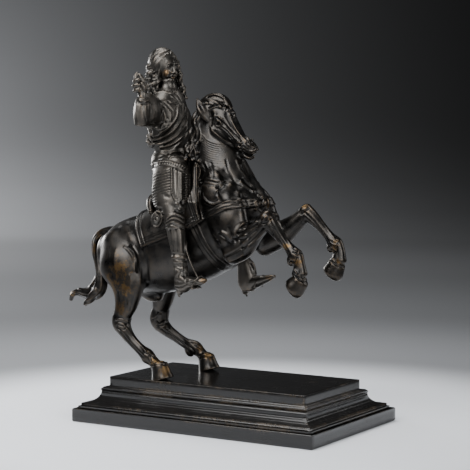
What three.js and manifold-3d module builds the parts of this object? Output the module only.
// Equestrian statuette: a bronze horse in levade, its long-haired rider in half armour,
// and an ebonised moulded plinth.
// Millimetres, +Z up, and the horse faces +X. The origin is the middle of the plinth's underside.
import * as THREE from "three";
import { mergeVertices } from "three/addons/utils/BufferGeometryUtils.js";
import Module from "manifold-3d";

const wasm = await Module();
wasm.setup();

// Driving dimensions
const FIGURE_HEIGHT = 342; // from the hind hooves' soles to the rider's crown
const FIGURE_OFFSET = 11; // how far the bronze stands from the plinth's long centre line, on its right side
const PLINTH_LENGTH = 282;
const PLINTH_WIDTH = 180;
const PLINTH_HEIGHT = 45;
const FOOT_SLAB_HEIGHT = 14;
const FOOT_SLAB_ROUNDING = 1.6;
const TOP_SLAB_LENGTH = 230.6;
const TOP_SLAB_WIDTH = 117.4;
const TOP_SLAB_THICKNESS = 9;
const JOINT_GAP = 0.3; // clearance between pieces that touch
const CLOTH_THICKNESS = 2.2; // saddle cloth over the horse's back
const STRAP_THICKNESS = 1.6; // girth and breast strap

// The figures are set out on a grid of 342 parts to their height, with z = 0 at the hooves' soles
// and y = 0 in the horse's middle plane. Rows of a limb are [x, y, z, half width, half depth].
const GRID_PARTS = 342;
const UNIT = FIGURE_HEIGHT / GRID_PARTS;
const SIDEWAYS = [0, 1, 0];
const FORWARDS = [1, 0, 0];
const UPWARDS = [0, 0, 1];

// Solids

function solidOf(geometry) {
  const bare = geometry.clone();
  bare.deleteAttribute("normal");
  bare.deleteAttribute("uv");
  const merged = mergeVertices(bare, 1e-4);
  return new wasm.Manifold(new wasm.Mesh({
    numProp: 3,
    vertProperties: new Float32Array(merged.attributes.position.array),
    triVerts: new Uint32Array(merged.index.array),
  }));
}

function geometryOf(solid) {
  const mesh = solid.getMesh();
  const points = new Float32Array(mesh.numVert * 3);
  for (let i = 0; i < mesh.numVert; i++) {
    points.set(mesh.vertProperties.subarray(i * mesh.numProp, i * mesh.numProp + 3), i * 3);
  }
  return new THREE.BufferGeometry()
    .setAttribute("position", new THREE.BufferAttribute(points, 3))
    .setIndex(new THREE.BufferAttribute(mesh.triVerts, 1));
}

const joined = (solids) => solids.reduce((whole, piece) => whole.add(piece));
const mirrored = (rows) => rows.map(([x, y, z, ...girth]) => [x, -y, z, ...girth]);

// A sphere drawn out along a smooth line through the rows: its poles close the two ends.
// The half width lies along the across direction, the half depth square to it, and swell adds to both.
function limb(rows, {
  sides = 8, steps = 1, across = SIDEWAYS, swell = 0, endBulge = 0.35, ribs = 0, ribStep = 0,
} = {}) {
  const line = new THREE.CatmullRomCurve3(
    rows.map(([x, y, z]) => new THREE.Vector3(x, y, z)), false, "catmullrom", 0.5);
  const girth = new THREE.CatmullRomCurve3(
    rows.map(([, , , width, depth]) => new THREE.Vector3(width, depth, 0)), false, "catmullrom", 0.5);
  const rings = (rows.length - 1) * steps + 1;
  const skin = new THREE.SphereGeometry(1, sides, rings + 1);
  const place = skin.attributes.position;
  for (let ring = 0; ring <= rings + 1; ring++) {
    const share = THREE.MathUtils.clamp((ring - 1) / (rings - 1), 0, 1);
    const centre = line.getPoint(share);
    const along = line.getTangent(share);
    const side = new THREE.Vector3(...across);
    side.addScaledVector(along, -along.dot(side)).normalize();
    const back = new THREE.Vector3().crossVectors(side, along);
    const rib = ribStep * (1 - ((share * ribs) % 1));
    const width = girth.getPoint(share).x + rib;
    const depth = girth.getPoint(share).y + rib;
    const pole = ring === 0 || ring === rings + 1;
    if (pole) {
      const bulge = endBulge * Math.min(width, depth) + swell / UNIT;
      centre.addScaledVector(along, ring === 0 ? -bulge : bulge);
    }
    for (let k = 0; k <= sides; k++) {
      const turn = (2 * Math.PI * k) / sides;
      const reach = pole ? 0 : 1;
      const point = centre.clone()
        .addScaledVector(side, reach * Math.cos(turn) * (width + swell / UNIT))
        .addScaledVector(back, reach * Math.sin(turn) * (depth + swell / UNIT))
        .multiplyScalar(UNIT);
      place.setXYZ(ring * (sides + 1) + k, point.x, point.y, point.z);
    }
  }
  return solidOf(skin);
}

// An egg of three half axes, turned by Euler angles in degrees.
function egg([x, y, z], [a, b, c], turn = [0, 0, 0], sides = 8, swell = 0) {
  const [rx, ry, rz] = turn.map(THREE.MathUtils.degToRad);
  const grow = swell / UNIT;
  return solidOf(new THREE.SphereGeometry(1, sides, Math.max(5, sides - 2))
    .rotateX(Math.PI / 2)
    .scale(a + grow, b + grow, c + grow)
    .rotateX(rx).rotateY(ry).rotateZ(rz)
    .translate(x, y, z)
    .scale(UNIT, UNIT, UNIT));
}

// A flat outline in the horse's middle plane, pushed out sideways from y0 to y1.
function slabThrough(outline, y0, y1) {
  const shape = new THREE.Shape(outline.map(([x, z]) => new THREE.Vector2(x, z)));
  return solidOf(new THREE.ExtrudeGeometry(shape, { depth: y1 - y0, bevelEnabled: false })
    .rotateX(Math.PI / 2)
    .translate(0, y1, 0)
    .scale(UNIT, UNIT, UNIT));
}

// Horse

const TRUNK = [
  [-147, 0, 126, 20, 22], [-132, 0, 126, 32, 32], [-112, 0, 126, 37, 39], [-90, 0, 127, 37, 44],
  [-56, 0, 137, 37, 46], [-18, 0, 156, 36, 47], [6, 0, 174, 31, 43], [23, 0, 188, 22, 27],
];
const NECK = [
  [2, 0, 180, 29, 39], [-7, 0, 204, 22, 33], [-16, 0, 230, 16, 28], [-21, 0, 254, 12, 23],
  [-22, 0, 272, 9.5, 16],
];
// The head is turned towards the near side: its own sideways direction leans up and forward.
const HEAD_SIDEWAYS = [0.355, 0.891, 0.282];
const HEAD = [
  [-25, 0, 273, 10, 13], [-13, 3, 270, 12, 15.5], [-6, 3, 262.5, 12.5, 16], [6.5, 0, 251.5, 9.5, 11.8],
  [15.3, -2.5, 244.5, 7.8, 8.8], [21.5, -3.5, 240, 8.4, 7.8], [28.5, -3.5, 237.3, 7, 6.4],
  [33, -3.5, 234.5, 5.2, 4.6],
];
const LOWER_JAW = [
  [-10, 6, 253, 7.5, 9], [2, 3, 242, 6, 6.5], [15, 0, 232.5, 5, 4.5], [29, -2, 227.5, 4.4, 3.4],
];
const THIGH = [
  [-126, 17, 139, 17, 20], [-114, 25, 118, 19, 29], [-104, 31, 98, 14.5, 21.5], [-103, 33, 80, 10, 15],
  [-107, 35, 63, 7.5, 10.5],
];
const NEAR_HIND_SHANK = [
  [-107, 34, 68, 7, 10.5], [-109, 35, 55, 7, 11.5], [-103, 35.5, 45, 6, 8], [-95, 36, 37, 5, 6.3],
  [-84, 37, 29, 5, 6], [-74, 38, 22.5, 6.4, 8], [-67, 38, 17.5, 5.5, 6], [-60, 38.5, 11, 7, 8],
];
const FAR_HIND_SHANK = [
  [-107, 35.5, 63, 7, 10.5], [-110, 36, 50, 7, 11.5], [-102, 36.5, 41, 6, 8], [-91, 37.5, 34, 5, 6.3],
  [-78, 38.5, 27, 5, 6], [-66, 39.5, 22.5, 6.4, 8], [-59, 40, 17.5, 5.5, 6], [-53, 40, 11, 7, 8],
];
const NEAR_SHOULDER = [[0, 21, 188, 12, 24], [14, 25, 166, 14, 24], [22, 27, 146, 12, 17]];
const FAR_SHOULDER = [[2, 20, 190, 12, 24], [18, 25, 167, 14, 24], [28, 27, 149, 12, 18]];
const NEAR_FOREARM = [
  [20, 27, 131, 11, 12], [35, 28, 139, 10, 12.5],
  [48, 29, 152, 8.5, 9.5], [61, 29, 166, 7, 8.5],
];
const FAR_FOREARM = [
  [25, 27, 137, 12, 13], [45, 28, 148, 10.5, 13.5],
  [62, 28, 160, 8.5, 10], [74, 28, 170, 7, 8.5],
];
const NEAR_FORE_SHANK = [
  [60, 29, 170, 6.5, 8.5], [68, 29, 161, 6, 7.5], [78, 29, 150, 5, 5.4], [88, 29, 140, 5, 5.4],
  [95, 29, 132, 6.6, 8], [99, 29, 124, 5.5, 6], [99.5, 29, 115, 7, 8.5],
];
const FAR_FORE_SHANK = [
  [73, 28, 174, 6.5, 8.5], [82, 28, 167, 6, 7.5], [93, 28, 157, 5, 5.6], [102, 28, 148, 5, 5.6],
  [108.5, 28, 141, 6.6, 8], [113, 28, 134, 5.5, 6], [112.5, 28, 125, 7, 8.5],
];
// Hooves: the middle of the sole, and how far the toe points down, in degrees
const HOOVES = [
  { sole: [-55, -38.5, 0], pitch: 0 },
  { sole: [-48.5, 40, 0], pitch: 0 },
  { sole: [91, -29, 97.5], pitch: 55 },
  { sole: [104, 28, 108.5], pitch: 41 },
];
const TAIL = [
  [-141, -1, 145, 7, 8], [-154, -1, 146, 6.5, 5], [-164, -1, 138, 6, 5], [-166, -1, 124, 5.5, 4.6],
  [-162.5, -2, 111, 5.5, 3.6], [-158.5, -3, 99, 6, 5], [-159, -4, 87, 7, 7], [-166, -4, 79.5, 7, 7],
  [-177, -5, 78.5, 5.5, 5], [-187, -6, 80, 4, 3.4], [-194, -7, 77, 3, 2.8], [-197, -7, 70, 2, 2],
];
const TAIL_CURL = [[-160, -9, 84, 4, 5], [-168, -10, 74, 4, 4.4], [-175, -10, 68, 2.4, 2.4]];
const SHEATH = [[-112, 0, 92, 7, 8], [-97, 0, 82, 7, 8], [-84, 0, 81, 5.5, 6]];
const NEAR_EAR = [[-19, -9, 267, 3.4, 3.6], [-25, -10.5, 275, 4.2, 4.6], [-31.5, -9, 284, 1.8, 2]];
const FAR_EAR = [[-20, 10, 270, 3.4, 3.6], [-26, 11.5, 278, 4.2, 4.6], [-32, 10, 285.5, 1.8, 2]];
const FORELOCKS = [
  [
    [-33, 1, 280, 6, 4], [-24, 2, 287, 7, 3.6], [-13, 2, 289.5, 6.5, 3], [-4, 1, 285.5, 4, 2.4],
    [3, 0, 279, 1.6, 1.6],
  ],
  [[-30, -3, 279, 4, 3.4], [-20, -4, 283, 5, 3.4], [-9, -5, 280, 4, 3], [-2, -6, 275, 2, 2]],
];
const MANE_LOCKS = 6;
const MANE_DROP = 34;
const CREST_TOP = [-35, 0, 277];
const CREST_FOOT = [-45, 0, 232];

// Saddlery outlines, as seen from the side
const CLOTH_OUTLINE = [
  [-82, 134], [-45, 148], [-45, 143], [-24, 155], [-7, 165], [-19, 198], [-30, 226], [-60, 226], [-103, 175],
];
const BREAST_STRAP_OUTLINE = [[-16, 163], [20, 176.5], [60, 180], [60, 188], [20, 184.5], [-16, 171]];
const GIRTH_OUTLINE = [[-22, 165], [-8, 165], [12, 100], [-3, 94]];
const CANTLE = [
  [-80, -22, 172, 4, 4], [-87, -13, 180, 5, 4.5], [-90, 0, 183, 5, 5],
  [-87, 13, 180, 5, 4.5], [-80, 22, 172, 4, 4],
];
const POMMEL = [
  [-24, -22, 196, 5, 5], [-32, -14, 210, 5, 5.5], [-36, 0, 216, 5, 6],
  [-32, 14, 210, 5, 5.5], [-24, 22, 196, 5, 5],
];
const SEAT = [[-86, 0, 176, 19, 8], [-70, 0, 185, 20, 11], [-52, 0, 195, 18, 12], [-36, 0, 206, 14, 11]];
const HOLSTER = [[-10, 30, 207, 5, 6], [-4, 35, 196, 6.5, 9], [3, 38, 184, 6.5, 9.5], [8, 38, 174, 5, 7]];

function hoof({ sole: [x, y, z], pitch }) {
  const rows = [[-3.5, 0, 15.5, 7.4, 8.6], [-2, 0, 9, 9, 10.8], [0, 0, 0, 10.2, 12.4]];
  const upright = geometryOf(limb(rows, { sides: 8, endBulge: 0.02 }));
  upright.rotateY(THREE.MathUtils.degToRad(pitch)).translate(x * UNIT, y * UNIT, z * UNIT);
  return solidOf(upright.toNonIndexed());
}

// Locks hang from the crest of the neck, each a little wavy, and swing out over the near side.
function maneLocks(swell) {
  const crestTop = new THREE.Vector3(...CREST_TOP);
  const crestFoot = new THREE.Vector3(...CREST_FOOT);
  const locks = [];
  for (let i = 0; i < MANE_LOCKS; i++) {
    const root = crestTop.clone().lerp(crestFoot, i / (MANE_LOCKS - 1));
    const rows = [];
    for (let step = 0; step <= 4; step++) {
      const share = step / 4;
      const sway = 2.2 * Math.sin(Math.PI * (1.6 * share + 0.5 * (i % 2)));
      const spread = 10 + 8 * (i / (MANE_LOCKS - 1));
      rows.push([
        root.x + 9 * share + sway, root.y - spread * Math.sqrt(share), root.z + 3 - MANE_DROP * share,
        3.8 * (1 - 0.5 * share), 5.2 * (1 - 0.55 * share)]);
    }
    locks.push(limb(rows, { sides: 5, swell }));
  }
  return locks;
}

function horseBody(swell) {
  return joined([limb(TRUNK, { sides: 12, swell }), limb(NECK, { sides: 10, swell })]);
}

// Saddle cloth, flaps and straps lie on the body, so each is a slice of a fatter body.
function saddlery(clearance) {
  return joined([
    horseBody(CLOTH_THICKNESS + clearance).intersect(slabThrough(CLOTH_OUTLINE, -60, 60)),
    limb(CANTLE, { swell: clearance, across: FORWARDS }),
    limb(POMMEL, { swell: clearance, across: FORWARDS }),
    limb(SEAT, { swell: clearance }),
    limb(HOLSTER, { swell: clearance }),
    limb(mirrored(HOLSTER), { swell: clearance }),
  ]);
}

function strap(outline) {
  return horseBody(STRAP_THICKNESS).intersect(slabThrough(outline, -60, 60));
}

const horseLimbs = () => [
  limb(HEAD, { across: HEAD_SIDEWAYS }),
  limb(LOWER_JAW, { sides: 6, across: HEAD_SIDEWAYS }),
  limb(NEAR_EAR, { sides: 6 }),
  limb(FAR_EAR, { sides: 6 }),
  ...FORELOCKS.map((rows) => limb(rows, { sides: 6 })),
  ...maneLocks(0),
  limb(mirrored(THIGH)),
  limb(THIGH),
  limb(mirrored(NEAR_HIND_SHANK), { sides: 7 }),
  limb(FAR_HIND_SHANK, { sides: 7 }),
  limb(mirrored(NEAR_SHOULDER)),
  limb(FAR_SHOULDER),
  limb(mirrored(NEAR_FOREARM)),
  limb(FAR_FOREARM),
  limb(mirrored(NEAR_FORE_SHANK), { sides: 7 }),
  limb(FAR_FORE_SHANK, { sides: 7 }),
  limb(TAIL, { sides: 6 }),
  limb(TAIL_CURL, { sides: 6 }),
  limb(SHEATH),
  ...HOOVES.map(hoof),
  egg([20, -10.5, 239.5], [3, 2.6, 3], [0, 0, 0], 6),
  egg([25, 3, 243.5], [3, 2.6, 3], [0, 0, 0], 6),
  egg([44, -1, 181], [5, 6, 7], [0, 0, 0], 6),
  egg([24, 0, 178], [20, 23, 22], [0, -20, 0], 8),
  strap(BREAST_STRAP_OUTLINE),
  strap(GIRTH_OUTLINE),
];

// Rider

const TORSO = [
  [-66, 0, 194, 18, 16], [-70, 0, 208, 20, 17], [-73, 0, 222, 19, 16], [-74, 0, 236, 18.5, 15.5],
  [-73, 0, 252, 21.5, 18], [-73, 0, 268, 23.5, 18.5], [-75, 0, 281, 21, 14], [-76, 0, 290, 10, 9],
];
const RIGHT_THIGH = [
  [-63, -15, 214, 16, 17], [-55, -31, 205, 16, 21], [-49, -39, 192, 14.5, 20.5], [-45, -44, 180, 13, 17],
];
const LEFT_THIGH = [
  [-63, 15, 214, 16, 17], [-52, 31, 205, 16, 21], [-44, 39, 192, 14.5, 20.5], [-38, 44, 182, 13, 17],
];
const TASSET_LAMES = 6;
const LAME_STEP = 0.8;
const RIGHT_KNEE = [[-44, -45, 184, 12.6, 14.6], [-42, -46, 175, 12.8, 14], [-41, -46, 167, 11.6, 12.4]];
const LEFT_KNEE = [[-36, 45, 186, 12.6, 14.6], [-33, 45, 177, 12.8, 14], [-31, 45, 169, 11.6, 12.4]];
const RIGHT_BOOT = [
  [-42, -46, 170, 10, 11], [-40.5, -46, 156, 9.5, 10.8], [-36.5, -46, 143, 8.6, 9.6], [-31, -46, 130, 8, 8.8],
  [-27, -46, 119, 7.8, 9.2], [-26, -46, 108, 8, 9.5],
];
const LEFT_BOOT = [
  [-32, 45, 172, 10, 11], [-26, 46, 154, 9.5, 10.8], [-20, 46, 137, 8.6, 9.6], [-12, 46, 120, 7.6, 8],
  [-8, 46, 107, 7.6, 8.2], [-6, 46, 96, 7.8, 8.6],
];
const RIGHT_FOOT = [
  [-31, -46, 103.5, 5, 6], [-22, -47, 104.5, 7.4, 7], [-11, -48, 104.5, 7.2, 6], [-1, -49, 105, 6, 4.4],
  [6, -50, 106, 3.6, 2.8],
];
const LEFT_FOOT = [
  [-10, 46, 89.5, 5, 6], [-1, 46, 92.5, 7.4, 7], [9, 46, 96.5, 7.2, 6], [19, 46, 101, 6, 4.4],
  [26, 46, 105, 3.6, 2.8],
];
const RIGHT_UPPER_ARM = [
  [-76, -17, 279, 10.5, 10], [-74, -34, 275, 10.5, 10.5],
  [-70, -48, 270, 9.8, 9.8], [-68, -57, 267, 8, 8.6],
];
const RIGHT_FOREARM = [
  [-68, -57, 262, 8, 8], [-67, -57, 270, 9, 9.2], [-66, -57, 279, 7.6, 8], [-66, -56, 288, 5, 5.2],
  [-69, -55.5, 295, 4.6, 6.6], [-71.5, -55, 301, 4.4, 7], [-73, -55, 307, 3.6, 4.6],
];
const RIGHT_FINGER = [[-74, -55, 304, 2.4, 2.4], [-74.5, -55, 309, 2.2, 2.2], [-73.5, -54.5, 313, 1.8, 1.8]];
const LEFT_UPPER_ARM = [
  [-76, 17, 279, 10.5, 10], [-78, 31, 270, 10.5, 10],
  [-80, 39, 256, 9.8, 9.5], [-79, 41, 245, 8, 8.6],
];
const LEFT_FOREARM = [
  [-79, 40, 246, 8, 8], [-70, 33, 238, 8, 8], [-58, 22, 230, 6.4, 6.4],
  [-48, 10, 224, 5, 5], [-42, 4, 221, 5.5, 5.5],
];
const RIDER_NECK = [[-74, -1, 284, 9, 9], [-72, -1.5, 296, 7, 7.5], [-72, -2, 306, 7, 7.5]];
const STIRRUP_LEATHER = [
  [-25, -42.5, 154, 2.2, 1.2], [-16, -48.5, 133, 2.2, 1.2], [-4, -50.5, 108, 2.2, 1.2],
];
const FAR_STIRRUP_LEATHER = [[-14, 42.5, 150, 2.2, 1.2], [2, 47, 130, 2.2, 1.2], [12, 49, 106, 2.2, 1.2]];
const SPUR = [[-31, -46, 99, 2.4, 2.4], [-30, -47, 92, 1.6, 1.6], [-28, -48, 88, 1, 1]];

// Sash folds sweep round the chest from the left shoulder down to the right hip. Turn 0 faces forward.
const SASH_BODY = [
  [-73, 0, 240, 20.2, 17], [-73, 0, 251, 23.7, 19.7], [-73, 0, 268, 24.9, 19.8], [-74.5, 0, 281, 22, 15.2],
];
const SASH_FOLDS = 3;
const SASH_THICKNESS = 3.2;
function sashFold(level) {
  const rows = [];
  for (let step = 0; step <= 6; step++) {
    const share = step / 6;
    const turn = THREE.MathUtils.degToRad(-130 + 220 * share);
    const z = 244 + 9 * level + (36 - 9 * level) * share ** 1.7 - 7 * Math.sin(Math.PI * share);
    const chest = 1 - 0.15 * THREE.MathUtils.smoothstep(z, 268, 284);
    rows.push([
      -73 + (17.2 * chest) * Math.cos(turn), (21.7 * chest) * Math.sin(turn), z, 3.6, SASH_THICKNESS]);
  }
  return limb(rows, { sides: 5, across: UPWARDS });
}

// Curls hang round the head in a fan from one temple past the nape to the other.
const CURLS = 9;
function curl(i) {
  const share = i / (CURLS - 1);
  const turn = THREE.MathUtils.degToRad(62 + 198 * share);
  const longest = 30 + 12 * Math.abs(Math.cos(turn * 0.5));
  const rows = [];
  for (let step = 0; step <= 3; step++) {
    const drop = step / 3;
    const reach = 12.5 + 3 * drop + 1.8 * Math.sin(Math.PI * (2 * drop + 0.5 * (i % 2)));
    rows.push([
      -79.5 + 1.05 * reach * Math.cos(turn), -1 + reach * Math.sin(turn), 326 - longest * drop,
      4.6 - 1.6 * drop, 4.6 - 1.6 * drop]);
  }
  return limb(rows, { sides: 5 });
}

function riderHead() {
  return [
    egg([-80, -1, 324], [15, 13.5, 17], [0, 0, 0], 10),
    egg([-72, -2.5, 318], [9.5, 8.5, 13.5], [0, 8, -12], 10),
    egg([-62.6, -4.4, 317], [2.4, 1.7, 4.4], [0, 18, -12], 6),
    limb(RIDER_NECK),
    ...Array.from({ length: CURLS }, (_, i) => curl(i)),
  ];
}

function riderParts() {
  const lames = { sides: 8, steps: 4, ribs: TASSET_LAMES, ribStep: LAME_STEP };
  return [
    limb(TORSO, { sides: 12 }),
    limb([[-72, 0, 216, 21.5, 18], [-73, 0, 222, 20.8, 17.6]], { sides: 10, endBulge: 0.05 }),
    limb(SASH_BODY, { sides: 12 }),
    ...Array.from({ length: SASH_FOLDS }, (_, i) => sashFold(i)),
    egg([-84, -13, 242], [5, 6, 8], [0, 20, 0], 6),
    limb(RIGHT_THIGH, lames),
    limb(LEFT_THIGH, lames),
    limb(RIGHT_KNEE),
    limb(LEFT_KNEE),
    egg([-56, -50, 177], [6.5, 3, 8.5], [0, 20, 0], 6),
    egg([-47, 50, 179], [6.5, 3, 8.5], [0, 20, 0], 6),
    limb(RIGHT_BOOT, { sides: 7 }),
    limb(LEFT_BOOT, { sides: 7 }),
    limb(RIGHT_FOOT),
    limb(LEFT_FOOT),
    limb(SPUR, { sides: 6 }),
    limb(STIRRUP_LEATHER, { sides: 4, across: FORWARDS }),
    limb(FAR_STIRRUP_LEATHER, { sides: 4, across: FORWARDS }),
    limb(RIGHT_UPPER_ARM, { across: FORWARDS }),
    limb(RIGHT_FOREARM, { sides: 7 }),
    limb(RIGHT_FINGER, { sides: 6 }),
    limb(LEFT_UPPER_ARM, { across: FORWARDS }),
    limb(LEFT_FOREARM, { across: UPWARDS }),
    ...riderHead(),
  ];
}

// Plinth

// Rows of [share of the flare from the top slab to the foot slab, height], up the moulded side.
function plinth() {
  const topSlabBottom = PLINTH_HEIGHT - TOP_SLAB_THICKNESS;
  const moulding = topSlabBottom - FOOT_SLAB_HEIGHT;
  const profile = [
    [1 - FOOT_SLAB_ROUNDING / 25, 0], [1, FOOT_SLAB_ROUNDING], [1, FOOT_SLAB_HEIGHT - FOOT_SLAB_ROUNDING],
    [1 - FOOT_SLAB_ROUNDING / 25, FOOT_SLAB_HEIGHT],
    [0.84, FOOT_SLAB_HEIGHT], [0.84, FOOT_SLAB_HEIGHT + 0.1 * moulding],
    [0.76, FOOT_SLAB_HEIGHT + 0.1 * moulding], [0.76, FOOT_SLAB_HEIGHT + 0.22 * moulding],
  ];
  for (let step = 0; step <= 5; step++) {
    const turn = (step / 5) * (Math.PI / 2);
    profile.push([
      0.72 - 0.5 * Math.sin(turn), FOOT_SLAB_HEIGHT + moulding * (0.24 + 0.52 * (1 - Math.cos(turn)))]);
  }
  profile.push([0.24, topSlabBottom - 0.14 * moulding], [0.16, topSlabBottom - 0.06 * moulding]);
  profile.push([0, topSlabBottom], [0, PLINTH_HEIGHT]);
  const turned = new THREE.LatheGeometry([
    new THREE.Vector2(0, 0),
    ...profile.map(([flare, z]) => new THREE.Vector2(1 + flare, z)),
    new THREE.Vector2(0, PLINTH_HEIGHT),
  ], 4).rotateX(Math.PI / 2).rotateZ(Math.PI / 4);
  const place = turned.attributes.position;
  const reach = (r, top, foot) => (top + (r - 1) * (foot - top)) / 2;
  for (let i = 0; i < place.count; i++) {
    const r = Math.hypot(place.getX(i), place.getY(i));
    if (r < 0.5) continue;
    place.setX(i, Math.sign(place.getX(i)) * reach(r, TOP_SLAB_LENGTH, PLINTH_LENGTH));
    place.setY(i, Math.sign(place.getY(i)) * reach(r, TOP_SLAB_WIDTH, PLINTH_WIDTH));
  }
  return solidOf(turned);
}

// Materials

const bronze = new THREE.MeshStandardMaterial({ color: 0x2c221b, roughness: 0.34, metalness: 0.85 });
const ebonisedWood = new THREE.MeshStandardMaterial({ color: 0x14120f, roughness: 0.35, metalness: 0 });

function node(name, solid, material) {
  const mesh = new THREE.Mesh(geometryOf(solid), material);
  mesh.name = name;
  return mesh;
}

// Assembly

const floor = slabThrough([[-300, -60], [300, -60], [300, 0], [-300, 0]], -100, 100);
const horse = joined([horseBody(0), saddlery(0), ...horseLimbs()]).subtract(floor);
const riderSeat = joined([
  horseBody(STRAP_THICKNESS + JOINT_GAP), saddlery(JOINT_GAP), ...maneLocks(JOINT_GAP)]);
const rider = joined(riderParts()).subtract(riderSeat);

const bronzeGroup = new THREE.Group();
bronzeGroup.position.set(0, -FIGURE_OFFSET, PLINTH_HEIGHT + JOINT_GAP);
bronzeGroup.add(node("horse", horse, bronze), node("rider", rider, bronze));

const statuette = new THREE.Group();
statuette.add(node("plinth", plinth(), ebonisedWood), bronzeGroup);

export default statuette;
